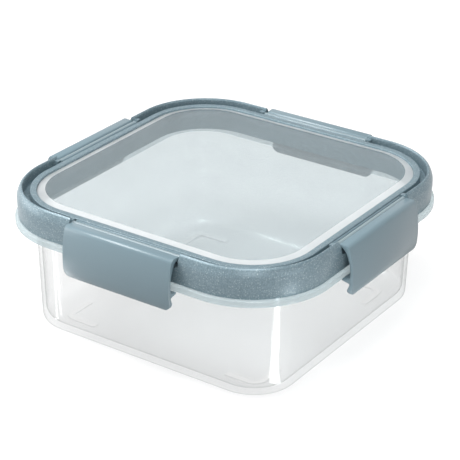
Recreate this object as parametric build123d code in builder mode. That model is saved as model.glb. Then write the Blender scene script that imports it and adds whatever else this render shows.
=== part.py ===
# Square food keeper: a clear base, a framed lid with a clear window, and four snap latches.
# Millimetres, +Z up, the origin under the middle of the base on the plane that its feet stand on.
# In every section, x is the distance outwards from the middle of the keeper and y is the height.
import os

from build123d import *

# Base cup
foot_height = 0.8
base_half = 72.2  # half the width of the wall's foot
base_corner = 22.5
base_wall = 1.8
floor_thickness = 1.8
draft = 1.6  # degrees that the walls lean out
bottom_round = 3.0
floor_round = 5.0

# Four corner feet, each an L under the floor
foot_arm = 20.0
foot_width = 4.0
foot_inset = 13.2  # from the wall's foot to an L's outer corner, along X and along Y
foot_round = 7.0

# Flange round the mouth, with a lip turned down and a rim standing up
flange_top = 56.8
flange_thickness = 1.6
flange_width = 8.9  # from the rim out to the lip
lip_thickness = 1.6
lip_depth = 3.1
lip_round = 0.7
rim_overhang = 4.8  # how far the rim stands outside the wall's foot
rim_wall = 1.8
rim_height = 5.8
rim_round = 0.6

# Lid frame
lid_corner = 40.7
skirt_setback = 1.2  # from the lip in to the skirt
skirt_wall = 2.0
skirt_gap = 0.3  # between the flange and the skirt over it
shoulder_round = 1.8
crown_rise = 1.8  # over the deck
crown_drop = 0.9  # the crown is lower at the groove
crown_width = 3.0
crown_run = 1.0  # how far outwards the crown climbs from the groove
groove_width = 3.4
groove_depth = 4.6  # under the deck
web_thickness = 2.0
web_gap = 0.8  # over the rim
deck_width = 3.3  # the frame's flat ring between the groove and the window
deck_round = 0.4
ledge_width = 1.2  # the window lies on it

# Window panel
window_border = 4.2  # from the deck in to the flat part
window_thickness = 2.0
window_bevel_width = 3.4
window_bevel_drop = 1.0
window_seat_gap = 0.05
window_core_overlap = 2.0

# Seal
seal_width = 1.6
seal_height = 1.6
seal_gap = 0.3  # over the base's rim
seal_side_gap = 0.1
seal_round = 0.4

# Hinge bars
bar_radius = 1.2
bar_inset = 0.8  # from the groove's outer wall in to the bar's axis
bar_rise = 3.3  # over the groove's floor
bar_seat_depth = 2.0
bar_seat_gap = 0.02
seat_block_wall = 0.5
seat_block_end = 0.6

# Latches
latch_half = 30.7  # half a latch's length
latch_end_gap = 0.7
latch_thickness = 1.7
clip_gap = 0.05
clip_wall = 1.1
clip_mouth = 50.0  # degrees to each side of straight up
plate_reach = 1.8  # from the bar's axis out to the plate's start
plate_rise = 1.5  # over the bar's axis
bend_clearance = 3.3  # from the skirt out to the bend
bend_rise = 0.3
bend_round = 2.6
belly_bow = 2.4
belly_drop = 12.2
bottom_lean = 1.8
latch_height = 25.2
bottom_round_outside = 1.1
finger_lip_depth = 2.6
finger_lip_height = 2.4
neck_run = 0.95  # the slope under the tooth
neck_thickness = 1.65
tooth_clearance = 0.3  # from the lip's inner edge
tooth_gap = 0.45  # under the lip
tooth_height = 0.9
tooth_land = 2.0
tooth_rise = 1.1
latch_corner = 4.0
latch_top_corner = 0.8

foot_corner = base_half - foot_inset
rim_half = base_half + rim_overhang
lip_half = rim_half + flange_width
lip_edge = lip_half - lip_thickness
lip_bottom = flange_top - lip_depth
rim_top = flange_top + rim_height
skirt_half = lip_half - skirt_setback
skirt_bottom = flange_top + skirt_gap
corner_centre = skirt_half - lid_corner  # where the lid's, the rim's and the lip's corners turn
web_bottom = rim_top + web_gap
groove_floor = web_bottom + web_thickness
deck_top = groove_floor + groove_depth
crown_top = deck_top + crown_rise
groove_outer = skirt_half - crown_width
groove_inner = groove_outer - groove_width
deck_inner = groove_inner - deck_width
ledge_inner = deck_inner - ledge_width
notch_half = latch_half + latch_end_gap
window_half = deck_inner - window_border
window_bottom = deck_top - window_thickness
panel_half = deck_inner - window_seat_gap
seal_middle = rim_half - rim_wall / 2
seal_bottom = rim_top + seal_gap
bar_outward = groove_outer - bar_inset
bar_height = groove_floor + bar_rise
clip_inside = bar_radius + clip_gap
clip_outside = clip_inside + clip_wall
plate_start = bar_outward + plate_reach
plate_top = bar_height + plate_rise
bend_outward = skirt_half + bend_clearance
belly_outward = bend_outward + belly_bow
belly_height = plate_top - belly_drop
bottom_outward = bend_outward + bottom_lean
latch_bottom = plate_top - latch_height
tooth_tip = lip_edge + tooth_clearance
sides = {"front": -90, "right": 0, "back": 90, "left": 180}


def section_plane(turn):
    # The upright plane through the middle of one side, turned about Z from the +X side.
    outwards = Vector(1, 0, 0).rotate(Axis.Z, turn)
    along = Vector(0, -1, 0).rotate(Axis.Z, turn)
    return Plane(origin=(0, 0, 0), x_dir=outwards, z_dir=along)


def side_plane(turn):
    # The upright plane through the middle of the keeper that faces one side.
    outwards = Vector(1, 0, 0).rotate(Axis.Z, turn)
    along = Vector(0, 1, 0).rotate(Axis.Z, turn)
    return Plane(origin=(0, 0, 0), x_dir=along, z_dir=outwards)


def carry_round(section):
    # A section at the middle of the +X side goes along half that side and round its corner.
    # A mirror in the diagonal adds the next half side, and two more mirrors close the ring.
    extrude(section, amount=-corner_centre)
    pivot = Axis((corner_centre, corner_centre, 0), (0, 0, 1))
    revolve(section.moved(Location((0, corner_centre, 0))), axis=pivot, revolution_arc=90)
    mirror(about=Plane(origin=(0, 0, 0), z_dir=(1, -1, 0)))
    mirror(about=Plane.XZ)
    mirror(about=Plane.YZ)


def rounded_square(half, mode=Mode.ADD):
    RectangleRounded(2 * half, 2 * half, half - corner_centre, mode=mode)


def round_corner(sketch, corner, radius):
    fillet(sketch.vertices().sort_by_distance(corner)[0], radius)


# Base: the flange with its lip and rim, the drafted cup, then the hollow and the feet
floor_level = foot_height + floor_thickness
with BuildPart() as base:
    with BuildSketch(Plane.XZ, mode=Mode.PRIVATE) as mouth_section:
        with BuildLine():
            Polyline(
                (base_half, flange_top - flange_thickness),
                (lip_edge, flange_top - flange_thickness),
                (lip_edge, lip_bottom),
                (lip_half, lip_bottom),
                (lip_half, flange_top),
                (rim_half, flange_top),
                (rim_half, rim_top),
                (rim_half - rim_wall, rim_top),
                (rim_half - rim_wall, flange_top),
                (base_half, flange_top),
                close=True,
            )
        make_face()
        fillet(mouth_section.vertices().group_by(Axis.Y)[0], lip_round)
        fillet(mouth_section.vertices().group_by(Axis.Y)[-1], rim_round)
    carry_round(mouth_section.sketch)
    with BuildSketch(Plane.XY.offset(foot_height)):
        RectangleRounded(2 * base_half, 2 * base_half, base_corner)
    extrude(amount=flange_top - foot_height, taper=-draft)
    fillet(base.edges().group_by(Axis.Z)[0], bottom_round)
    with BuildSketch(Plane.XY.offset(floor_level)):
        inside_half = base_half - base_wall
        RectangleRounded(2 * inside_half, 2 * inside_half, base_corner - base_wall)
    extrude(amount=rim_top - floor_level, taper=-draft, mode=Mode.SUBTRACT)
    fillet(base.edges().filter_by_position(Axis.Z, floor_level, floor_level), floor_round)
    with BuildSketch(Plane.XY) as feet:
        with BuildLine():
            Polyline(
                (foot_corner, foot_corner),
                (foot_corner - foot_arm, foot_corner),
                (foot_corner - foot_arm, foot_corner - foot_width),
                (foot_corner - foot_width, foot_corner - foot_width),
                (foot_corner - foot_width, foot_corner - foot_arm),
                (foot_corner, foot_corner - foot_arm),
                close=True,
            )
        make_face()
        round_corner(feet, (foot_corner, foot_corner), foot_round)
        mirror(about=Plane.XZ)
        mirror(about=Plane.YZ)
    extrude(amount=foot_height)

# Lid frame: the flat ring with its ledge, the groove, the crowned edge and the skirt
recess_half_width = seal_width / 2 + seal_side_gap
seal_top = seal_bottom + seal_height
with BuildPart() as lid_frame:
    with BuildSketch(Plane.XZ, mode=Mode.PRIVATE) as frame_section:
        with BuildLine():
            Polyline(
                (ledge_inner, web_bottom),
                (seal_middle - recess_half_width, web_bottom),
                (seal_middle - recess_half_width, seal_top),
                (seal_middle + recess_half_width, seal_top),
                (seal_middle + recess_half_width, web_bottom),
                (skirt_half - skirt_wall, web_bottom),
                (skirt_half - skirt_wall, skirt_bottom),
                (skirt_half, skirt_bottom),
                (skirt_half, crown_top),
                (groove_outer + crown_run, crown_top),
                (groove_outer, crown_top - crown_drop),
                (groove_outer, groove_floor),
                (groove_inner, groove_floor),
                (groove_inner, deck_top),
                (deck_inner, deck_top),
                (deck_inner, window_bottom),
                (ledge_inner, window_bottom),
                close=True,
            )
        make_face()
        round_corner(frame_section, (skirt_half, crown_top), shoulder_round)
        round_corner(frame_section, (groove_inner, deck_top), deck_round)
        round_corner(frame_section, (deck_inner, deck_top), deck_round)
        round_corner(frame_section, (groove_outer, crown_top - crown_drop), deck_round)
    carry_round(frame_section.sketch)
    for turn in sides.values():
        with BuildSketch(section_plane(turn)):
            with Locations((groove_inner, groove_floor)):
                Rectangle(crown_width + groove_width + latch_thickness, crown_top, align=(Align.MIN, Align.MIN))
        extrude(amount=notch_half, both=True, mode=Mode.SUBTRACT)
        block_inner = bar_outward - bar_radius - seat_block_wall
        block_length = bar_seat_depth + seat_block_end
        for end in (-1, 1):
            with BuildSketch(section_plane(turn).offset(end * notch_half)):
                with Locations((block_inner, groove_floor)):
                    Rectangle(
                        groove_outer - block_inner,
                        bar_height + bar_radius + seat_block_wall - groove_floor,
                        align=(Align.MIN, Align.MIN),
                    )
            extrude(amount=end * block_length)
        with BuildSketch(section_plane(turn)):
            with Locations((bar_outward, bar_height)):
                Circle(bar_radius + bar_seat_gap)
        extrude(amount=notch_half + bar_seat_depth, both=True, mode=Mode.SUBTRACT)

# Window panel: a bevelled border on the frame's ledge, filled in by a flat plate
with BuildPart() as window_panel:
    with BuildSketch(Plane.XZ, mode=Mode.PRIVATE) as border_section:
        with BuildLine():
            Polyline(
                (window_half - window_core_overlap, window_bottom),
                (panel_half, window_bottom),
                (panel_half, deck_top - window_bevel_drop),
                (window_half + window_bevel_width, deck_top - window_bevel_drop),
                (window_half, deck_top),
                (window_half - window_core_overlap, deck_top),
                close=True,
            )
        make_face()
    carry_round(border_section.sketch)
    with BuildSketch(Plane.XY.offset(window_bottom)):
        rounded_square(window_half)
    extrude(amount=window_thickness)

# Seal: a soft ring in the frame's recess, over the base's rim
with BuildPart() as seal_ring:
    with BuildSketch(Plane.XZ, mode=Mode.PRIVATE) as seal_section:
        with Locations((seal_middle, seal_bottom + seal_height / 2)):
            RectangleRounded(seal_width, seal_height, seal_round)
    carry_round(seal_section.sketch)


def make_hinge_bar(turn):
    with BuildPart() as bar:
        with BuildSketch(section_plane(turn)):
            with Locations((bar_outward, bar_height)):
                Circle(bar_radius)
        extrude(amount=notch_half + bar_seat_depth - bar_seat_gap, both=True)
    return bar.part


def make_latch(turn):
    # The clip round the bar, the web over the notch, the bowed plate, the tooth under the lip
    # and the finger lip are one section. The plate's outline then rounds its corners.
    tooth_top = lip_bottom - tooth_gap
    neck_low = tooth_top - tooth_height - neck_run
    inside_belly = belly_outward - latch_thickness
    finger_inner = bottom_outward - finger_lip_depth
    neck_outward = belly_outward - neck_thickness
    with BuildPart() as latch:
        with BuildSketch(section_plane(turn)) as latch_section:
            with BuildLine():
                Line((plate_start, plate_top), (bend_outward, plate_top + bend_rise))
                ThreePointArc(
                    (bend_outward, plate_top + bend_rise),
                    (belly_outward, belly_height),
                    (bottom_outward, latch_bottom),
                )
                Polyline(
                    (bottom_outward, latch_bottom),
                    (finger_inner + bottom_round_outside, latch_bottom),
                    (finger_inner, latch_bottom + finger_lip_height),
                    (neck_outward, neck_low),
                    (tooth_tip, tooth_top - tooth_height),
                    (tooth_tip, tooth_top),
                    (tooth_tip + tooth_land, tooth_top),
                    (neck_outward, tooth_top + tooth_rise),
                )
                ThreePointArc(
                    (neck_outward, tooth_top + tooth_rise),
                    (inside_belly, belly_height + latch_thickness),
                    (bend_outward - latch_thickness, plate_top - 2 * latch_thickness),
                )
                Polyline(
                    (bend_outward - latch_thickness, plate_top - 2 * latch_thickness),
                    (bend_outward - 2 * latch_thickness, plate_top - latch_thickness),
                    (plate_start, plate_top - latch_thickness),
                    (plate_start, plate_top),
                )
            make_face()
            with Locations((bar_outward, bar_height)):
                Circle(clip_outside)
                Circle(clip_inside, mode=Mode.SUBTRACT)
            with BuildLine():
                mouth_corner = Vector(0, 2 * clip_outside).rotate(Axis.Z, clip_mouth)
                axis_point = Vector(bar_outward, bar_height)
                Polyline(
                    axis_point,
                    axis_point + mouth_corner,
                    axis_point + Vector(-mouth_corner.X, mouth_corner.Y),
                    close=True,
                )
            make_face(mode=Mode.SUBTRACT)
            round_corner(latch_section, (bend_outward, plate_top + bend_rise), bend_round)
            round_corner(latch_section, (bottom_outward, latch_bottom), bottom_round_outside)
        extrude(amount=latch_half, both=True)
        with BuildSketch(side_plane(turn)) as outline:
            with Locations((0, latch_bottom)):
                Rectangle(2 * latch_half, plate_top + bend_rise - latch_bottom, align=(Align.CENTER, Align.MIN))
            fillet(outline.vertices().group_by(Axis.Y)[0], latch_corner)
            fillet(outline.vertices().group_by(Axis.Y)[-1], latch_top_corner)
        extrude(amount=2 * belly_outward, mode=Mode.INTERSECT)
    return latch.part


os.makedirs("parts", exist_ok=True)
pieces = {"base": base.part, "lid_frame": lid_frame.part, "window_panel": window_panel.part}
pieces["seal_ring"] = seal_ring.part
for side, turn in sides.items():
    pieces[side + "_hinge_bar"] = make_hinge_bar(turn)
    pieces[side + "_latch"] = make_latch(turn)
for name, piece in pieces.items():
    piece.label = name
    export_step(piece, "parts/" + name + ".step")
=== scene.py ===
# Square food keeper: a clear base, a framed lid with a clear window, and four snap latches.
# Sizes are in millimetres and become metres as each mesh is made. +Z is up, and the keeper
# stands on the plane z = 0 with its middle at the origin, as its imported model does.
# A section is a line of points (u, z): u is the distance from the middle to a side.
from math import asin, atan2, cos, degrees, pi, radians, sin, sqrt, tan

import bmesh
import bpy
from mathutils import Matrix, Vector


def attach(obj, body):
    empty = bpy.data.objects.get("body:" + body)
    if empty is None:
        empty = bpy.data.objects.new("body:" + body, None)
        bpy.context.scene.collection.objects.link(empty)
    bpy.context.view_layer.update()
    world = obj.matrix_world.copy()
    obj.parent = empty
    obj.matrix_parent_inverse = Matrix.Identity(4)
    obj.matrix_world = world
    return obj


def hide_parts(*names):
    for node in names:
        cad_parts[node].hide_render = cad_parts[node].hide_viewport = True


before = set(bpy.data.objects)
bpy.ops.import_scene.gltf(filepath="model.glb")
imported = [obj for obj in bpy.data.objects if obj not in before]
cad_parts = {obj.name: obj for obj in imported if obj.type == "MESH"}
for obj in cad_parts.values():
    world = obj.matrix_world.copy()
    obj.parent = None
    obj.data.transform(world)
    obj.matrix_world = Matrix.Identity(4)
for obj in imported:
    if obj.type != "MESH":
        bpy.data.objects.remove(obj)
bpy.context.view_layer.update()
print("frame loaded with", len(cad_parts), "nodes")

scene = bpy.context.scene
mm = 0.001
cornerCentre = 44.0  # where the corners of the lid, the rim and the lip turn
cornerSteps = 24
crispAngle = 32  # degrees; faces that meet at a larger angle have a real edge between them
sideTurns = {"front": -90, "right": 0, "back": 90, "left": 180}


def roundedLine(corners, closed=True, arcStep=15):
    # Corners given as (x, y, radius) become a line with an arc at each.
    line = []
    for i, (x, y, radius) in enumerate(corners):
        here = Vector((x, y))
        if radius == 0 or (not closed and i in (0, len(corners) - 1)):
            line.append(here)
            continue
        back = (Vector(corners[i - 1][:2]) - here).normalized()
        ahead = (Vector(corners[(i + 1) % len(corners)][:2]) - here).normalized()
        half = back.angle(ahead) / 2
        middle = here + (back + ahead).normalized() * radius / sin(half)
        first = here + back * radius / tan(half) - middle
        last = here + ahead * radius / tan(half) - middle
        start = atan2(first.y, first.x)
        sweep = (atan2(last.y, last.x) - start + pi) % (2 * pi) - pi
        steps = max(2, round(abs(degrees(sweep)) / arcStep))
        for k in range(steps + 1):
            angle = start + sweep * k / steps
            line.append(middle + radius * Vector((cos(angle), sin(angle))))
    return line


def squareRing(half, centre, height):
    # Points round a square with rounded corners, whose arcs turn about (centre, centre).
    ring = []
    for corner in range(4):
        pivot = Matrix.Rotation(corner * pi / 2, 2) @ Vector((centre, centre))
        for step in range(cornerSteps + 1):
            angle = (corner + step / cornerSteps) * pi / 2
            reach = (half - centre) * Vector((cos(angle), sin(angle)))
            ring.append((*(pivot + reach), height))
    return ring


def loftRings(rings):
    # A closed skin over rings of equal point counts, with a flat face on the first and the last.
    bm = bmesh.new()
    loops = [[bm.verts.new(point) for point in ring] for ring in rings]
    for low, high in zip(loops, loops[1:]):
        for i in range(len(low)):
            bm.faces.new((low[i - 1], low[i], high[i], high[i - 1]))
    bm.faces.new(loops[0])
    bm.faces.new(loops[-1])
    return bm


def shadeWithEdges(mesh, sharpAngle=crispAngle):
    # Smooth shading, except at the real edges.
    mesh.shade_smooth()
    mesh.set_sharp_from_angle(angle=radians(sharpAngle))


def finishMesh(bm, name, sharpAngle=crispAngle):
    # The mesh in metres, with its faces outwards.
    bmesh.ops.recalc_face_normals(bm, faces=bm.faces)
    bmesh.ops.scale(bm, vec=(mm, mm, mm), verts=bm.verts)
    mesh = bpy.data.meshes.new(name)
    bm.to_mesh(mesh)
    bm.free()
    shadeWithEdges(mesh, sharpAngle)
    return mesh


def outward(mesh, mergeMm=0.002):
    # Merges doubled points and faces the mesh outwards.
    bm = bmesh.new()
    bm.from_mesh(mesh)
    bmesh.ops.remove_doubles(bm, verts=bm.verts, dist=mergeMm * mm)
    bmesh.ops.recalc_face_normals(bm, faces=bm.faces)
    bm.to_mesh(mesh)
    bm.free()
    shadeWithEdges(mesh)
    return mesh


def newObject(name, data):
    item = bpy.data.objects.new(name, data)
    scene.collection.objects.link(item)
    return item


def plainMesh(item):
    # The object's mesh with its modifiers applied.
    ready = item.evaluated_get(bpy.context.evaluated_depsgraph_get())
    return bpy.data.meshes.new_from_object(ready)


def addPiece(name, mesh, material, body, nodes):
    piece = newObject(name, mesh)
    piece.data.materials.clear()
    piece.data.materials.append(material)
    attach(piece, body)
    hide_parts(*nodes)
    return piece


def addNode(tree, kind, inputs=None, **settings):
    # Adds a node with its settings; an input takes a value, or another node's socket.
    node = tree.nodes.new(kind)
    for name, value in settings.items():
        setattr(node, name, value)
    for socket, value in (inputs or {}).items():
        if isinstance(value, bpy.types.NodeSocket):
            tree.links.new(value, node.inputs[socket])
        else:
            node.inputs[socket].default_value = value
    return node


def hexColour(code):
    # sRGB hex to linear.
    channels = [int(code[i:i + 2], 16) / 255 for i in (1, 3, 5)]
    return (*[c / 12.92 if c <= 0.04045 else ((c + 0.055) / 1.055) ** 2.4 for c in channels], 1)


def newMaterial(name):
    material = bpy.data.materials.new(name)
    material.use_nodes = True
    material.node_tree.nodes.clear()
    return material, material.node_tree


# Materials. Names that end in Mm hold millimetres, and the patterns' sizes are among them.
clearPlastic = {
    "base": {"passed": "#fdfdfd", "edge": "#c4c6c6", "haze": 0.055, "hazeColour": "#f8f9f9",
             "roughness": 0.1, "gloss": 0.04, "grazing": 0.5},
    "mouth": {"passed": "#eef4f5", "edge": "#b8c5c8", "haze": 0.34, "hazeColour": "#dbe5e8",
              "roughness": 0.14, "gloss": 0.04, "grazing": 0.45},
    "window": {"passed": "#f4f8f9", "edge": "#dce2e4", "haze": 0.14, "hazeColour": "#cfdade",
               "roughness": 0.09, "gloss": 0.04, "grazing": 1.0},
    "border": {"passed": "#f9fbfc", "edge": "#f0f4f5", "haze": 0.62, "hazeColour": "#f8fafb",
               "roughness": 0.3, "gloss": 0.04, "grazing": 1.0},
}
melt = {"flowMm": 18, "unevenMm": 0.02, "unevenStrength": 0.5, "hazeSpread": 0.2}
greyPlastic = {
    "frame": {"colour": "#6c818a", "mottle": "#7e929b", "mottleFrom": 0.35, "mottleTo": 0.65,
              "pearl": 0.18, "roughness": 0.36, "grainMm": 0.7, "grainDepthMm": 0.07,
              # Painted glints: light dots put into the frame's colour where a flecked surface would catch
              # the light.
              "paintedGlint": "#b4c1c6", "paintedGlintMm": 0.75, "paintedGlintEdge": 0.42, "paintedGlintCore": 0.15,
              "paintedGlintLeast": 0.2},
    "latch": {"colour": "#768b94", "roughness": 0.26, "spread": 0.1, "grainMm": 0.4,
              "grainDepthMm": 0.006},
    # The bars' grey is painted paler than the latches' grey, as a painted highlight along them.
    "bar": {"colour": "#8d9da3", "roughness": 0.3, "spread": 0.1, "grainMm": 0.4,
            "grainDepthMm": 0.004},
}
sealRubber = {"colour": "#d9dee0", "roughness": 0.55, "spread": 0.2, "grainMm": 0.8, "soak": 0.3,
              "soakMm": 1.0}
plasticIor = 1.49
siliconeIor = 1.41
grazingPower = 5.0  # how late the gloss, and a wall's edge colour, set in towards a grazing angle


def mouldedClearPolypropylene(name, look):
    # Clarified polypropylene, moulded in a polished tool: see-through with a milky haze, a soft
    # gloss that grows at grazing angles, and a slight unevenness from the cooling melt. A wall
    # seen edge on is darker, since the light goes through more of it.
    material, tree = newMaterial(name)
    place = addNode(tree, "ShaderNodeTexCoord")
    flow = addNode(tree, "ShaderNodeTexNoise", {
        "Vector": place.outputs["Object"], "Scale": 1 / (melt["flowMm"] * mm), "Detail": 1.0})
    uneven = addNode(tree, "ShaderNodeBump", {
        "Height": flow.outputs[0], "Distance": melt["unevenMm"] * mm, "Strength": melt["unevenStrength"]})
    milky = addNode(tree, "ShaderNodeMapRange", {
        "Value": flow.outputs[0], "To Min": look["haze"] * (1 - melt["hazeSpread"]),
        "To Max": look["haze"] * (1 + melt["hazeSpread"])})
    edgeOn = addNode(tree, "ShaderNodeLayerWeight", {"Blend": 0.5})
    depth = addNode(tree, "ShaderNodeMath", {0: edgeOn.outputs["Facing"], 1: grazingPower},
                    operation="POWER")
    passed = addNode(tree, "ShaderNodeMix", {
        "Factor": depth.outputs[0], 6: hexColour(look["passed"]), 7: hexColour(look["edge"])},
        data_type="RGBA")
    clear = addNode(tree, "ShaderNodeBsdfTransparent", {"Color": passed.outputs[2]})
    # The haze is lit from the side of the viewer and from behind alike.
    front = addNode(tree, "ShaderNodeBsdfDiffuse", {"Color": hexColour(look["hazeColour"])})
    behind = addNode(tree, "ShaderNodeBsdfTranslucent", {"Color": hexColour(look["hazeColour"])})
    haze = addNode(tree, "ShaderNodeMixShader", {0: 0.5, 1: front.outputs[0], 2: behind.outputs[0]})
    body = addNode(tree, "ShaderNodeMixShader", {
        0: milky.outputs[0], 1: clear.outputs[0], 2: haze.outputs[0]})
    gloss = addNode(tree, "ShaderNodeBsdfAnisotropic", {
        "Roughness": look["roughness"], "Normal": uneven.outputs[0]})
    # Its share grows towards a grazing angle, the same from inside the wall as from outside.
    facing = addNode(tree, "ShaderNodeLayerWeight", {"Blend": 0.5, "Normal": uneven.outputs[0]})
    steep = addNode(tree, "ShaderNodeMath", {0: facing.outputs["Facing"], 1: grazingPower},
                    operation="POWER")
    mirrored = addNode(tree, "ShaderNodeMapRange", {
        "Value": steep.outputs[0], "To Min": look["gloss"], "To Max": look["grazing"]})
    surface = addNode(tree, "ShaderNodeMixShader", {
        0: mirrored.outputs[0], 1: body.outputs[0], 2: gloss.outputs[0]})
    addNode(tree, "ShaderNodeOutputMaterial", {"Surface": surface.outputs[0]})
    return material


def texturedPolypropylene(name, look):
    # Polypropylene with a little pearl pigment, moulded in a spark-eroded tool: a fine mottled
    # grain, and small light dots painted into its colour as glints. Both are drawn coarser than they are,
    # to show.
    material, tree = newMaterial(name)
    place = addNode(tree, "ShaderNodeTexCoord")
    grain = addNode(tree, "ShaderNodeTexNoise", {
        "Vector": place.outputs["Object"], "Scale": 1 / (look["grainMm"] * mm), "Detail": 2.0})
    glintCells = addNode(tree, "ShaderNodeTexVoronoi", {
        "Vector": place.outputs["Object"], "Scale": 1 / (look["paintedGlintMm"] * mm)})
    # Each painted glint is a soft light dot in the colour, and its cell's random colour says how bright it
    # is.
    dot = addNode(tree, "ShaderNodeMapRange", {
        "Value": glintCells.outputs["Distance"], "From Min": look["paintedGlintEdge"], "From Max": look["paintedGlintCore"]})
    pick = addNode(tree, "ShaderNodeSeparateColor", {0: glintCells.outputs["Color"]})
    chosen = addNode(tree, "ShaderNodeMapRange", {
        "Value": pick.outputs[0], "From Min": look["paintedGlintLeast"], "From Max": 1.0})
    paintedGlints = addNode(tree, "ShaderNodeMath", {0: dot.outputs[0], 1: chosen.outputs[0]},
                    operation="MULTIPLY")
    patchy = addNode(tree, "ShaderNodeMapRange", {
        "Value": grain.outputs[0], "From Min": look["mottleFrom"], "From Max": look["mottleTo"]})
    mottled = addNode(tree, "ShaderNodeMix", {
        "Factor": patchy.outputs[0], 6: hexColour(look["colour"]), 7: hexColour(look["mottle"])},
        data_type="RGBA")
    # The painted glints lighten the colour itself, under any lamp.
    colour = addNode(tree, "ShaderNodeMix", {
        "Factor": paintedGlints.outputs[0], 6: mottled.outputs[2], 7: hexColour(look["paintedGlint"])},
        data_type="RGBA")
    bump = addNode(tree, "ShaderNodeBump", {
        "Height": grain.outputs[0], "Strength": 0.6, "Distance": look["grainDepthMm"] * mm})
    plastic = addNode(tree, "ShaderNodeBsdfPrincipled", {
        "Base Color": colour.outputs[2], "Metallic": look["pearl"], "Roughness": look["roughness"],
        "IOR": plasticIor, "Normal": bump.outputs[0]})
    addNode(tree, "ShaderNodeOutputMaterial", {"Surface": plastic.outputs[0]})
    return material


def smoothPolypropylene(name, look):
    # Polypropylene moulded in a fine-ground tool: an even satin, with a grain too small to see.
    material, tree = newMaterial(name)
    place = addNode(tree, "ShaderNodeTexCoord")
    grain = addNode(tree, "ShaderNodeTexNoise", {
        "Vector": place.outputs["Object"], "Scale": 1 / (look["grainMm"] * mm), "Detail": 1.0})
    shine = addNode(tree, "ShaderNodeMapRange", {
        "Value": grain.outputs[0], "To Min": look["roughness"] * (1 - look["spread"]),
        "To Max": look["roughness"] * (1 + look["spread"])})
    bump = addNode(tree, "ShaderNodeBump", {
        "Height": grain.outputs[0], "Strength": 0.5, "Distance": look["grainDepthMm"] * mm})
    plastic = addNode(tree, "ShaderNodeBsdfPrincipled", {
        "Base Color": hexColour(look["colour"]), "Roughness": shine.outputs[0], "IOR": plasticIor,
        "Normal": bump.outputs[0]})
    addNode(tree, "ShaderNodeOutputMaterial", {"Surface": plastic.outputs[0]})
    return material


def paleSilicone(name, look):
    # Silicone rubber, moulded: milky, with a dusty matt skin.
    material, tree = newMaterial(name)
    place = addNode(tree, "ShaderNodeTexCoord")
    dust = addNode(tree, "ShaderNodeTexNoise", {
        "Vector": place.outputs["Object"], "Scale": 1 / (look["grainMm"] * mm)})
    matt = addNode(tree, "ShaderNodeMapRange", {
        "Value": dust.outputs[0], "To Min": look["roughness"] * (1 - look["spread"]),
        "To Max": look["roughness"] * (1 + look["spread"])})
    soak = look["soakMm"] * mm
    rubber = addNode(tree, "ShaderNodeBsdfPrincipled", {
        "Base Color": hexColour(look["colour"]), "Roughness": matt.outputs[0], "IOR": siliconeIor,
        "Subsurface Weight": look["soak"], "Subsurface Radius": (soak, soak, soak)})
    addNode(tree, "ShaderNodeOutputMaterial", {"Surface": rubber.outputs[0]})
    return material


baseMaterial = mouldedClearPolypropylene("clear polypropylene, moulded", clearPlastic["base"])
mouthMaterial = mouldedClearPolypropylene("clear polypropylene, moulded flange", clearPlastic["mouth"])
windowMaterial = mouldedClearPolypropylene("clear polypropylene panel, moulded", clearPlastic["window"])
borderMaterial = mouldedClearPolypropylene("clear polypropylene, frosted edge", clearPlastic["border"])
frameMaterial = texturedPolypropylene("grey polypropylene, moulded with a texture", greyPlastic["frame"])
latchMaterial = smoothPolypropylene("grey polypropylene, moulded smooth", greyPlastic["latch"])
# Grey of the bars, painted paler to stand in for their highlight.
barPaintedHighlightMaterial = smoothPolypropylene("pale polypropylene, moulded smooth", greyPlastic["bar"])
sealMaterial = paleSilicone("silicone rubber, moulded", sealRubber)
print("materials made")

# Base: one skin from the middle of the inside floor, over the rim and the lip, to the underside
base = {
    "wallHalf": 72.2, "wall": 1.8, "draft": 1.6, "cornerCentre": 49.7,
    "underside": 0.8, "floor": 2.6, "floorRound": 5.0, "bottomRound": 3.0, "flatHalf": 51.0,
    "flangeTop": 56.8, "flangeUnder": 55.2, "flangeRound": 0.3, "rimInner": 75.2, "rimOuter": 77.0,
    "rimTop": 62.6, "rimRound": 0.6, "lipInner": 84.3, "lipOuter": 85.9, "lipBottom": 53.7,
    "lipRound": 0.7, "arcStep": 9,
    "footCorner": 59.0, "footArm": 20.0, "footWidth": 4.0, "footRound": 7.0, "footEndRound": 0.8,
    "footBendRound": 2.5, "footTop": 1.6,
    "hazyPastRim": 0.4, "hazyBelowLip": 0.1,  # the flange and the lip are hazier than the walls
}


def leanOut(half, bottom, height):
    # A wall's distance from the middle at a height, with its draft.
    return half + (height - bottom) * tan(radians(base["draft"]))


def makeBase():
    b = base
    insideHalf = b["wallHalf"] - b["wall"]
    inside = roundedLine([
        (b["flatHalf"], b["floor"], 0), (insideHalf, b["floor"], b["floorRound"]),
        (leanOut(insideHalf, b["floor"], b["flangeTop"]), b["flangeTop"], 0)],
        closed=False, arcStep=b["arcStep"])
    mouth = roundedLine([
        (b["rimInner"], b["flangeTop"], 0),
        (b["rimInner"], b["rimTop"], b["rimRound"]),
        (b["rimOuter"], b["rimTop"], b["rimRound"]),
        (b["rimOuter"], b["flangeTop"], b["flangeRound"]),
        (b["lipOuter"], b["flangeTop"], b["flangeRound"]),
        (b["lipOuter"], b["lipBottom"], b["lipRound"]),
        (b["lipInner"], b["lipBottom"], b["lipRound"]),
        (b["lipInner"], b["flangeUnder"], 0)], closed=False)
    outside = roundedLine([
        (leanOut(b["wallHalf"], b["underside"], b["flangeUnder"]), b["flangeUnder"], 0),
        (b["wallHalf"], b["underside"], b["bottomRound"]), (b["flatHalf"], b["underside"], 0)],
        closed=False, arcStep=b["arcStep"])
    rings = [squareRing(u, b["cornerCentre"], z) for u, z in inside]
    rings += [squareRing(u, cornerCentre, z) for u, z in mouth]
    rings += [squareRing(u, b["cornerCentre"], z) for u, z in outside]
    return finishMesh(loftRings(rings), "baseCup")


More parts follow.
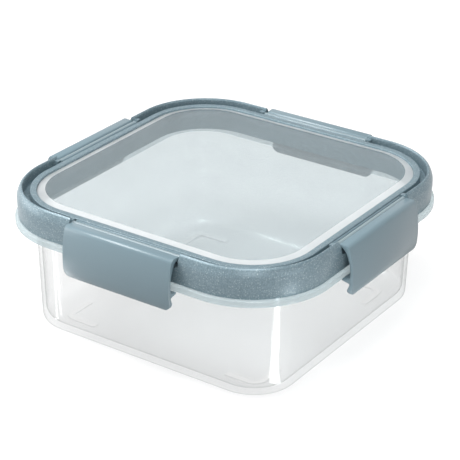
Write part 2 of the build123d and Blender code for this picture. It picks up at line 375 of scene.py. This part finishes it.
def makeFootOutline():
    # One L under a corner, as a flat closed line.
    far, endRound = base["footCorner"], base["footEndRound"]
    near, end = far - base["footWidth"], far - base["footArm"]
    return roundedLine([
        (far, far, base["footRound"]), (end, far, endRound), (end, near, endRound),
        (near, near, base["footBendRound"]), (near, end, endRound), (far, end, endRound)])


def lineObject(name, points):
    # A closed curve of straight runs, which a node tree reads as a section.
    curve = bpy.data.curves.new(name, "CURVE")
    curve.dimensions = "3D"
    spline = curve.splines.new("POLY")
    spline.points.add(len(points) - 1)
    for point, (x, y) in zip(spline.points, points):
        point.co = (x * mm, y * mm, 0, 1)
    spline.use_cyclic_u = True
    return bpy.data.objects.new(name, curve)


def newTree(name, sockets):
    # A node tree with the named inputs that a modifier sets.
    tree = bpy.data.node_groups.new(name, "GeometryNodeTree")
    tree.interface.new_socket("Geometry", in_out="INPUT", socket_type="NodeSocketGeometry")
    for label, kind in sockets.items():
        tree.interface.new_socket(label, in_out="INPUT", socket_type="NodeSocket" + kind)
    tree.interface.new_socket("Geometry", in_out="OUTPUT", socket_type="NodeSocketGeometry")
    return tree, addNode(tree, "NodeGroupInput").outputs


def endTree(tree, mesh, given):
    whole = addNode(tree, "GeometryNodeRealizeInstances", {"Geometry": mesh})
    painted = addNode(tree, "GeometryNodeSetMaterial", {
        "Geometry": whole.outputs[0], "Material": given["Material"]})
    addNode(tree, "NodeGroupOutput", {"Geometry": painted.outputs[0]})


def quarterTurns(tree, shape):
    # Four copies of a shape, one for each side.
    points = addNode(tree, "GeometryNodePoints", {"Count": 4, "Position": (0, 0, 0)})
    number = addNode(tree, "GeometryNodeInputIndex")
    angle = addNode(tree, "ShaderNodeMath", {0: number.outputs[0], 1: pi / 2}, operation="MULTIPLY")
    turn = addNode(tree, "ShaderNodeCombineXYZ", {"Z": angle.outputs[0]})
    copies = addNode(tree, "GeometryNodeInstanceOnPoints", {
        "Points": points.outputs[0], "Instance": shape, "Rotation": turn.outputs[0]})
    return addNode(tree, "GeometryNodeRealizeInstances", {"Geometry": copies.outputs[0]}).outputs[0]


def box(tree, size, middle):
    # A box with its size and its middle as sockets or values.
    cube = addNode(tree, "GeometryNodeMeshCube", {"Size": size})
    return addNode(tree, "GeometryNodeTransform", {
        "Geometry": cube.outputs[0], "Translation": middle}).outputs[0]


def sectionRoundPath(tree, given):
    # The section swept round a square path with rounded corners.
    width = addNode(tree, "ShaderNodeMath", {0: given["Path Half Side"], 1: 2.0}, operation="MULTIPLY")
    square = addNode(tree, "GeometryNodeCurvePrimitiveQuadrilateral", {
        "Width": width.outputs[0], "Height": width.outputs[0]})
    path = addNode(tree, "GeometryNodeFilletCurve", {
        "Curve": square.outputs[0], "Count": given["Corner Steps"], "Radius": given["Path Corner Radius"]},
        mode="POLY")
    upright = addNode(tree, "GeometryNodeSetCurveNormal", {"Curve": path.outputs[0]}, mode="Z_UP")
    section = addNode(tree, "GeometryNodeObjectInfo", {"Object": given["Section"]})
    swept = addNode(tree, "GeometryNodeCurveToMesh", {
        "Curve": upright.outputs[0], "Profile Curve": section.outputs["Geometry"]})
    return swept.outputs[0]


def treeMesh(name, tree, values):
    # The tree's result as a plain mesh, with the modifier gone.
    maker = newObject(name, bpy.data.meshes.new(name))
    modifier = maker.modifiers.new("build", "NODES")
    modifier.node_group = tree
    for item in tree.interface.items_tree:
        if item.in_out == "INPUT" and item.name in values:
            modifier[item.identifier] = values[item.name]
    mesh = plainMesh(maker)
    bpy.data.objects.remove(maker)
    return mesh


ringInputs = {"Section": "Object", "Path Half Side": "Float", "Path Corner Radius": "Float",
              "Corner Steps": "Int", "Material": "Material"}
pathHalf = 80.0  # any line between a section's inner and outer edge does


def ringValues(section, material):
    return {"Section": section, "Path Half Side": pathHalf * mm, "Corner Steps": cornerSteps,
            "Path Corner Radius": (pathHalf - cornerCentre) * mm, "Material": material}


def sectionAbout(line):
    # A section's points, measured from the path. The sweep lays a section's y downwards.
    return [(u - pathHalf, -z) for u, z in line]


def makeFeet():
    # Four L shapes under the cup's corners.
    tree, given = newTree("corner feet", {"Section": "Object", "Height": "Float", "Material": "Material"})
    outline = addNode(tree, "GeometryNodeObjectInfo", {"Object": given["Section"]})
    top = addNode(tree, "ShaderNodeCombineXYZ", {"Z": given["Height"]})
    flat = addNode(tree, "GeometryNodeFillCurve", {"Curve": outline.outputs["Geometry"]}, mode="NGONS")
    raised = addNode(tree, "GeometryNodeExtrudeMesh", {
        "Mesh": flat.outputs[0], "Offset": top.outputs[0], "Individual": False})
    floor = addNode(tree, "GeometryNodeFlipFaces", {"Mesh": flat.outputs[0]})
    solid = addNode(tree, "GeometryNodeJoinGeometry", {"Geometry": raised.outputs[0]})
    tree.links.new(floor.outputs[0], solid.inputs[0])
    endTree(tree, quarterTurns(tree, solid.outputs[0]), given)
    section = lineObject("footOutline", makeFootOutline())
    return outward(treeMesh("feet", tree, {
        "Section": section, "Height": base["footTop"] * mm, "Material": baseMaterial}))


def joined(mesh, added):
    # The union of two closed meshes.
    body, extra = newObject("whole", mesh), newObject("extra", added)
    union = body.modifiers.new("union", "BOOLEAN")
    union.operation, union.solver, union.object = "UNION", "EXACT", extra
    result = plainMesh(body)
    for item in (body, extra):
        bpy.data.objects.remove(item)
    return result


baseMesh = outward(joined(makeBase(), makeFeet()))
addPiece("baseCup", baseMesh, baseMaterial, "base", ["base"])
baseMesh.materials.append(mouthMaterial)
hazyHalf = base["rimOuter"] + base["hazyPastRim"]
hazyLow = base["lipBottom"] - base["hazyBelowLip"]
for face in baseMesh.polygons:
    past = Vector([max(0, abs(c) / mm - cornerCentre) for c in face.center[:2]]).length
    if face.center.z / mm > hazyLow and cornerCentre + past > hazyHalf:
        face.material_index = 1
print("base made,", len(baseMesh.polygons), "faces")

# Lid frame: a section carried round the lid, cut for the latches, with seats for the hinge bars
lidFrame = {
    "ledgeInner": 73.8, "ledgeTop": 68.0, "ledgeRound": 0.2,
    "plugOuter": 75.0, "plugBottom": 57.4, "plugRound": 0.3,
    "webBottom": 63.4, "webRound": 0.5, "recessInner": 75.2, "recessOuter": 77.0, "recessTop": 64.5,
    "skirtInner": 82.7, "skirtOuter": 84.7, "skirtBottom": 57.1, "skirtMiddle": 64.0, "skirtLean": 0.35,
    "tipInnerRound": 0.25, "tipOuterRound": 0.5, "skirtBow": 20,
    "shoulderFoot": 67.9, "shoulderFootIn": 0.05, "shoulderFootRound": 6,
    "shoulderHead": 71.0, "shoulderIn": 1.35, "shoulderRound": 1.5,
    "crownInner": 70.9, "crownTop": 71.8, "crownRun": 0.3, "crownWidth": 0.8,
    "crownOuterRound": 0.6, "crownInnerRound": 0.3,
    "grooveInner": 78.3, "grooveOuter": 81.7, "grooveFloor": 65.4, "grooveRound": 0.3,
    "grooveTopRound": 0.4, "deckInner": 75.0, "deckTop": 70.0,
    "notchHalf": 31.4, "cutterFar": 90.0, "cutterTop": 75.0,  # the cutter ends clear of the frame
    "seatInner": 79.2, "seatTop": 70.4, "seatLength": 2.6, "seatGap": 0.02, "seatSunk": 0.2,
}


def frameSection():
    # From the inner wall's foot outwards, up the skirt, and back over the crown and the groove.
    f = lidFrame
    crownOuter, crownStart = f["grooveOuter"] + f["crownWidth"], f["grooveOuter"] + f["crownRun"]
    return roundedLine([
        (f["ledgeInner"], f["plugBottom"], f["plugRound"]),
        (f["plugOuter"], f["plugBottom"], f["plugRound"]),
        (f["plugOuter"], f["webBottom"], 0),
        (f["recessInner"], f["webBottom"], 0),
        (f["recessInner"], f["recessTop"], 0),
        (f["recessOuter"], f["recessTop"], 0),
        (f["recessOuter"], f["webBottom"], 0),
        (f["skirtInner"], f["webBottom"], f["webRound"]),
        (f["skirtInner"], f["skirtBottom"], f["tipInnerRound"]),
        (f["skirtOuter"] - f["skirtLean"], f["skirtBottom"], f["tipOuterRound"]),
        (f["skirtOuter"], f["skirtMiddle"], f["skirtBow"]),
        (f["skirtOuter"] - f["shoulderFootIn"], f["shoulderFoot"], f["shoulderFootRound"]),
        (f["skirtOuter"] - f["shoulderIn"], f["shoulderHead"], f["shoulderRound"]),
        (crownOuter, f["crownTop"], f["crownOuterRound"]),
        (crownStart, f["crownTop"], f["crownInnerRound"]),
        (f["grooveOuter"], f["crownInner"], f["grooveTopRound"]),
        (f["grooveOuter"], f["grooveFloor"], f["grooveRound"]),
        (f["grooveInner"], f["grooveFloor"], f["grooveRound"]),
        (f["grooveInner"], f["deckTop"], f["grooveTopRound"]),
        (f["deckInner"], f["deckTop"], f["grooveTopRound"]),
        (f["deckInner"], f["ledgeTop"], 0),
        (f["ledgeInner"], f["ledgeTop"], f["ledgeRound"])])


def span(low, high):
    # The length and the middle of a stretch, in metres.
    return (high - low) * mm, (high + low) / 2 * mm


def makeFrame():
    f = lidFrame
    tree, given = newTree("framed ring", {
        **ringInputs, "Notch Size": "Vector", "Notch Middle": "Vector", "Seat Size": "Vector",
        "Seat Middle": "Vector"})
    ring = sectionRoundPath(tree, given)
    notches = quarterTurns(tree, box(tree, given["Notch Size"], given["Notch Middle"]))
    cut = addNode(tree, "GeometryNodeMeshBoolean", {0: ring, 1: notches},
                  operation="DIFFERENCE", solver="EXACT")
    seat = box(tree, given["Seat Size"], given["Seat Middle"])
    otherSeat = addNode(tree, "GeometryNodeTransform", {"Geometry": seat, "Scale": (1, -1, 1)})
    otherSeat = addNode(tree, "GeometryNodeFlipFaces", {"Mesh": otherSeat.outputs[0]})
    pair = addNode(tree, "GeometryNodeJoinGeometry", {"Geometry": seat})
    tree.links.new(otherSeat.outputs[0], pair.inputs[0])
    seats = quarterTurns(tree, pair.outputs[0])
    whole = addNode(tree, "GeometryNodeMeshBoolean", {1: cut.outputs[0]},
                    operation="UNION", solver="EXACT")
    tree.links.new(seats, whole.inputs[1])
    endTree(tree, whole.outputs[0], given)
    notchDepth, notchAcross = span(f["grooveInner"], f["cutterFar"])
    notchTall, notchUp = span(f["grooveFloor"], f["cutterTop"])
    seatDepth, seatAcross = span(f["seatInner"], f["grooveOuter"] + f["seatSunk"])
    seatTall, seatUp = span(f["grooveFloor"] - f["seatSunk"], f["seatTop"])
    seatAlong = (f["notchHalf"] + f["seatLength"] / 2 + f["seatGap"]) * mm
    section = lineObject("frameSection", sectionAbout(frameSection()))
    return outward(treeMesh("lidFrame", tree, {
        **ringValues(section, frameMaterial),
        "Notch Size": (notchDepth, 2 * f["notchHalf"] * mm, notchTall),
        "Notch Middle": (notchAcross, 0, notchUp),
        "Seat Size": (seatDepth, f["seatLength"] * mm, seatTall),
        "Seat Middle": (seatAcross, seatAlong, seatUp),
    }))


frameMesh = makeFrame()
addPiece("lidFrame", frameMesh, frameMaterial, "lid", ["lid_frame"])
print("lid frame made,", len(frameMesh.polygons), "faces")

# Window: a flat clear panel with a bevelled border
window = {"bottom": 68.0, "top": 70.0, "flatHalf": 70.8, "bevelHalf": 74.2, "bevelLow": 69.0,
          "panelHalf": 74.95, "innerHalf": 46.0, "flatRound": 0.5, "bevelRound": 0.2,
          "edgeRound": 0.15, "crispAngle": 12, "lowSlack": 0.01, "topSlack": 0.02}


def makeWindow():
    w = window
    line = roundedLine([
        (w["innerHalf"], w["top"], 0),
        (w["flatHalf"], w["top"], w["flatRound"]),
        (w["bevelHalf"], w["bevelLow"], w["bevelRound"]),
        (w["panelHalf"], w["bevelLow"], w["edgeRound"]),
        (w["panelHalf"], w["bottom"], w["edgeRound"]),
        (w["innerHalf"], w["bottom"], 0)], closed=False)
    rings = [squareRing(u, cornerCentre, z) for u, z in line]
    return finishMesh(loftRings(rings), "windowPanel", w["crispAngle"])


windowMesh = makeWindow()
addPiece("windowPanel", windowMesh, windowMaterial, "lid", ["window_panel"])
windowMesh.materials.append(borderMaterial)
borderLow, borderHigh = window["bevelLow"] - window["lowSlack"], window["top"] - window["topSlack"]
for face in windowMesh.polygons:
    if borderLow < face.center.z / mm < borderHigh:
        face.material_index = 1

# Seal: a soft ring under the lid, over the base's rim
seal = {"inner": 75.3, "outer": 76.9, "bottom": 62.9, "top": 64.5, "round": 0.4}


def makeSeal():
    s = seal
    tree, given = newTree("seal ring", ringInputs)
    endTree(tree, sectionRoundPath(tree, given), given)
    line = roundedLine([(s["inner"], s["bottom"], s["round"]), (s["outer"], s["bottom"], s["round"]),
                        (s["outer"], s["top"], s["round"]), (s["inner"], s["top"], s["round"])])
    section = lineObject("sealSection", sectionAbout(line))
    return outward(treeMesh("sealRing", tree, ringValues(section, sealMaterial)))


sealMesh = makeSeal()
addPiece("sealRing", sealMesh, sealMaterial, "lid", ["seal_ring"])
print("window and seal made")

# Hinge bars: a round bar in the groove at each side
bar = {"radius": 1.2, "outward": 80.9, "height": 68.7, "halfLength": 33.38, "roundSteps": 32}


def makeBars():
    tree, given = newTree("hinge bars", {
        "Radius": "Float", "Start": "Vector", "End": "Vector", "Round Steps": "Int",
        "Material": "Material"})
    line = addNode(tree, "GeometryNodeCurvePrimitiveLine", {
        "Start": given["Start"], "End": given["End"]})
    circle = addNode(tree, "GeometryNodeCurvePrimitiveCircle", {
        "Resolution": given["Round Steps"], "Radius": given["Radius"]})
    rod = addNode(tree, "GeometryNodeCurveToMesh", {
        "Curve": line.outputs[0], "Profile Curve": circle.outputs[0], "Fill Caps": True})
    endTree(tree, quarterTurns(tree, rod.outputs[0]), given)
    return outward(treeMesh("hingeBars", tree, {
        "Radius": bar["radius"] * mm, "Round Steps": bar["roundSteps"], "Material": barPaintedHighlightMaterial,
        "Start": (bar["outward"] * mm, -bar["halfLength"] * mm, bar["height"] * mm),
        "End": (bar["outward"] * mm, bar["halfLength"] * mm, bar["height"] * mm)}))


barMesh = makeBars()
barNodes = [side + "_hinge_bar" for side in sideTurns]
addPiece("hingeBars", barMesh, barPaintedHighlightMaterial, "lid", barNodes)
print("hinge bars made")

# Latches: a clip round the bar, a web over the notch, a bowed plate, a tooth and a finger lip.
# The rows are heights at which the plate's bowed faces have points.
latch = {
    "halfLength": 30.7, "top": 70.2, "bend": (88.0, 70.5), "bendRound": 2.6, "belly": (90.4, 58.0),
    "bottom": (89.8, 45.0), "bottomRound": 1.1, "thickness": 1.7, "corner": 4.0, "cornerStep": 15,
    "outerRows": (66, 64, 62, 60, 58, 56, 54, 52, 50.5), "innerRows": (57, 59.7, 62, 64, 65.6),
    "clipInner": 1.25, "clipOuter": 2.35, "clipMouth": 50.0, "clipSteps": 16,
    "toothTip": 84.6, "toothLow": 52.35, "toothHigh": 53.25, "toothLand": 86.6,
    "neck": 88.75, "neckLow": 51.4, "neckHigh": 54.35,
    "lipInner": 87.2, "lipHeight": 47.4, "lipFoot": 87.9,
    "edge": 0.45, "edgeSegments": 2, "edgeAngle": 38,
}


def arcThrough(a, b, c):
    # Centre and radius of the circle through three points.
    ax, ay, bx, by, cx, cy = *a, *b, *c
    d = 2 * (ax * (by - cy) + bx * (cy - ay) + cx * (ay - by))
    sa, sb, sc = ax * ax + ay * ay, bx * bx + by * by, cx * cx + cy * cy
    x = (sa * (by - cy) + sb * (cy - ay) + sc * (ay - by)) / d
    y = (sa * (cx - bx) + sb * (ax - cx) + sc * (bx - ax)) / d
    return Vector((x, y)), (Vector(a) - Vector((x, y))).length


def latchSection():
    # The section as one loop: the outer face downwards, the foot, and the inner face and the clip.
    n = latch
    middle, radius = arcThrough(n["bend"], n["belly"], n["bottom"])
    low = n["bottom"][1]

    def outerAt(z):
        if z < low + n["bottomRound"]:
            flat = outerAt(low + n["bottomRound"]) - n["bottomRound"]
            return flat + sqrt(max(0, n["bottomRound"] ** 2 - (low + n["bottomRound"] - z) ** 2))
        return middle.x + sqrt(radius ** 2 - (z - middle.y) ** 2)

    def innerAt(z):
        if z <= n["lipHeight"]:
            share = (z - low) / (n["lipHeight"] - low)
            return n["lipFoot"] + (n["lipInner"] - n["lipFoot"]) * sin(share * pi / 2)
        share = (z - n["lipHeight"]) / (n["neckLow"] - n["lipHeight"])
        return n["lipInner"] + (n["neck"] - n["lipInner"]) * share

    # Outer face, from the clip's mouth over the bend
    clip = Vector((bar["outward"], bar["height"]))
    mouth = 90 - n["clipMouth"]
    start = clip + n["clipOuter"] * Vector((cos(radians(mouth)), sin(radians(mouth))))
    plateTop = n["outerRows"][0]
    bend = roundedLine([(start.x, start.y, 0), (*n["bend"], n["bendRound"]),
                        (outerAt(plateTop), plateTop, 0)], closed=False)
    outer = [start] + bend[1:-1] + [Vector((outerAt(z), z)) for z in n["outerRows"]]

    # Foot, with rows where the plate's bottom corners round off
    rows = [low + n["corner"] * (1 - cos(radians(angle))) for angle in range(0, 91, n["cornerStep"])]
    foot = [Vector((outerAt(z), z)) for z in reversed(rows)] + [Vector((innerAt(z), z)) for z in rows]

    # Inner face, with the tooth, up to the web
    web = n["top"] - n["thickness"]
    innerTop = (n["bend"][0] - n["thickness"], n["top"] - 2 * n["thickness"])
    innerBelly = (n["belly"][0] - n["thickness"], n["belly"][1] + n["thickness"])
    centre, reach = arcThrough((n["neck"], n["neckHigh"]), innerBelly, innerTop)
    inner = [Vector(p) for p in ((n["neck"], n["neckLow"]), (n["toothTip"], n["toothLow"]),
                                 (n["toothTip"], n["toothHigh"]), (n["toothLand"], n["toothHigh"]))]
    inner += [Vector((centre.x + sqrt(reach ** 2 - (z - centre.y) ** 2), z))
              for z in (n["neckHigh"], *n["innerRows"])] + [Vector(innerTop)]
    inner.append(Vector((innerTop[0] - n["thickness"], web)))

    # Clip: once round the bar outside, and back round it inside
    first = degrees(asin((web - clip.y) / n["clipOuter"]))
    last = -270 + n["clipMouth"]
    for reach, a, b in ((n["clipOuter"], first, last), (n["clipInner"], last, mouth)):
        for k in range(n["clipSteps"] + 1):
            angle = radians(a + (b - a) * k / n["clipSteps"])
            inner.append(clip + reach * Vector((cos(angle), sin(angle))))
    return outer, foot, inner


def makeLatch():
    n = latch
    outer, foot, inner = latchSection()
    loop = outer + foot + inner
    low = n["bottom"][1]

    def halfAt(z):
        below = max(0, low + n["corner"] - z)
        return n["halfLength"] - n["corner"] + sqrt(max(0, n["corner"] ** 2 - below ** 2))

    bm = bmesh.new()
    ends = [[bm.verts.new((p.x, side * halfAt(p.y), p.y)) for p in loop] for side in (-1, 1)]
    for i in range(len(loop)):
        bm.faces.new((ends[0][i - 1], ends[0][i], ends[1][i], ends[1][i - 1]))
    rows = len(foot) // 2
    for end in ends:
        footPoints = end[len(outer):len(outer) + len(foot)]
        for k in range(rows - 1):
            bm.faces.new((footPoints[k], footPoints[k + 1], footPoints[-2 - k], footPoints[-1 - k]))
        bm.faces.new(end[:len(outer) + 1] + end[len(outer) + len(foot) - 1:])
    piece = newObject("latchShape", finishMesh(bm, "latch"))
    soften = piece.modifiers.new("edges", "BEVEL")
    soften.width, soften.segments, soften.limit_method = n["edge"] * mm, n["edgeSegments"], "ANGLE"
    soften.angle_limit, soften.use_clamp_overlap = radians(n["edgeAngle"]), False
    result = plainMesh(piece)
    bpy.data.objects.remove(piece)
    return result


latchMesh = makeLatch()
for side, turn in sideTurns.items():
    mesh = latchMesh.copy()
    mesh.transform(Matrix.Rotation(radians(turn), 4, "Z"))
    shadeWithEdges(mesh)
    addPiece(side + "Latch", mesh, latchMaterial, side + "_latch", [side + "_latch"])
print("latches made,", len(latchMesh.polygons), "faces each")

# Camera, fitted to the photograph's viewing angle
view = {"azimuth": 34.332, "elevation": 26.276, "roll": 0.4546, "distance": 802.0,
        "target": (33.8, -46.9, 70.0), "lens": 136.37, "sensor": 36.0}


def placeCamera():
    a, e, r = (radians(view[key]) for key in ("azimuth", "elevation", "roll"))
    back = Vector((sin(a) * cos(e), -cos(a) * cos(e), sin(e)))
    right = (-back).cross(Vector((0, 0, 1))).normalized()
    up = back.cross(right)
    across = cos(r) * right + sin(r) * up
    upward = cos(r) * up - sin(r) * right
    lens = bpy.data.cameras.new("camera")
    lens.lens, lens.sensor_width, lens.sensor_fit = view["lens"], view["sensor"], "HORIZONTAL"
    camera = newObject("camera", lens)
    turned = Matrix((across, upward, back)).transposed().to_4x4()
    place = (Vector(view["target"]) + back * view["distance"]) * mm
    camera.matrix_world = Matrix.Translation(place) @ turned
    scene.camera = camera


placeCamera()

# Floor, world and lamps: a white studio. Its places and sizes are in metres, its powers in watts.
studio = {
    "floor": "#a0a0a0", "floorGlow": 0.72, "floorHalf": 4,
    "world": 0.28, "horizon": 1.0, "overhead": 0.45, "horizonHeight": 0.05, "overheadHeight": 0.6,
    "aim": (0, 0, 0.04),
    "lamps": {
        "key": {"place": (-0.78, -0.45, 1.20), "size": 0.65, "power": 15.5},
        "left": {"place": (-1.40, -0.45, 0.15), "size": 1.1, "power": 13},
        "fill": {"place": (1.45, -0.20, 0.02), "size": 0.7, "power": 4.5},
        "front": {"place": (0.816, -1.2, 0.676), "size": 0.45, "power": 4.5},
        "top": {"place": (0.20, -0.30, 1.25), "size": 0.5, "power": 9},
    },
    # Strips just over the floor, which the corners of the clear base mirror as upright bands
    "stripHeight": 0.0003,
    "strips": {
        "rightNear": {"middle": (0.0919, -0.0617), "size": (0.028, 0.010), "turn": -2, "power": 0.010},
        "rightFar": {"middle": (0.1349, -0.0632), "size": (0.06, 0.016), "turn": -2, "power": 0.028},
        "leftNear": {"middle": (-0.0679, -0.0869), "size": (0.024, 0.0025), "turn": 42, "power": 0.0018},
        "leftFar": {"middle": (-0.0998, -0.1159), "size": (0.06, 0.0055), "turn": 42, "power": 0.0105},
    },
}


def seenDirectly(tree):
    # 1 for what the camera sees, also in a mirror or through something clear.
    path = addNode(tree, "ShaderNodeLightPath")
    seen = addNode(tree, "ShaderNodeMath", {
        0: path.outputs["Is Camera Ray"], 1: path.outputs["Is Glossy Ray"]}, operation="MAXIMUM")
    return addNode(tree, "ShaderNodeMath", {
        0: seen.outputs[0], 1: path.outputs["Is Transmission Ray"]}, operation="MAXIMUM").outputs[0]


def makeFloor():
    # Pale paper that takes the shadow. Its glow shows in a view of it, and lights nothing.
    half = studio["floorHalf"]
    mesh = bpy.data.meshes.new("floor")
    mesh.from_pydata([(-half, -half, 0), (half, -half, 0), (half, half, 0), (-half, half, 0)], [],
                     [(0, 1, 2, 3)])
    floor = newObject("floor", mesh)
    material, tree = newMaterial("white paper sweep")
    paper = addNode(tree, "ShaderNodeBsdfDiffuse", {"Color": hexColour(studio["floor"])})
    strength = addNode(tree, "ShaderNodeMath", {0: seenDirectly(tree), 1: studio["floorGlow"]},
                       operation="MULTIPLY")
    glow = addNode(tree, "ShaderNodeEmission", {"Strength": strength.outputs[0]})
    both = addNode(tree, "ShaderNodeAddShader", {0: paper.outputs[0], 1: glow.outputs[0]})
    addNode(tree, "ShaderNodeOutputMaterial", {"Surface": both.outputs[0]})
    mesh.materials.append(material)


def makeWorld():
    # For the camera, white near the horizon and darker overhead. For the light, an even low level.
    world = bpy.data.worlds.new("studio")
    scene.world = world
    world.use_nodes = True
    tree = world.node_tree
    tree.nodes.clear()
    direction = addNode(tree, "ShaderNodeTexCoord")
    way = addNode(tree, "ShaderNodeSeparateXYZ", {0: direction.outputs["Generated"]})
    room = addNode(tree, "ShaderNodeMapRange", {
        "Value": way.outputs["Z"], "From Min": studio["horizonHeight"],
        "From Max": studio["overheadHeight"], "To Min": studio["horizon"], "To Max": studio["overhead"]})
    strength = addNode(tree, "ShaderNodeMix", {
        0: seenDirectly(tree), 2: studio["world"], 3: room.outputs[0]})
    light = addNode(tree, "ShaderNodeBackground", {
        "Color": (1, 1, 1, 1), "Strength": strength.outputs[0]})
    addNode(tree, "ShaderNodeOutputWorld", {"Surface": light.outputs[0]})


def addLight(name, power, place):
    light = newObject(name, bpy.data.lights.new(name, "AREA"))
    light.data.energy = power
    light.location = place
    return light


def makeLights():
    for name, lamp in studio["lamps"].items():
        light = addLight(name, lamp["power"], lamp["place"])
        light.data.size = lamp["size"]
        aim = Vector(studio["aim"]) - light.location
        light.rotation_euler = aim.to_track_quat("-Z", "Y").to_euler()
    for name, strip in studio["strips"].items():
        light = addLight(name, strip["power"], (*strip["middle"], studio["stripHeight"]))
        light.data.shape = "RECTANGLE"
        light.data.size, light.data.size_y = strip["size"]
        light.rotation_euler = (pi, 0, radians(strip["turn"]))
        light.visible_camera = False


makeFloor()
makeWorld()
makeLights()
scene.view_settings.view_transform = "Standard"
scene.cycles.transparent_max_bounces = 24  # the view passes many clear walls
print("camera and studio made")
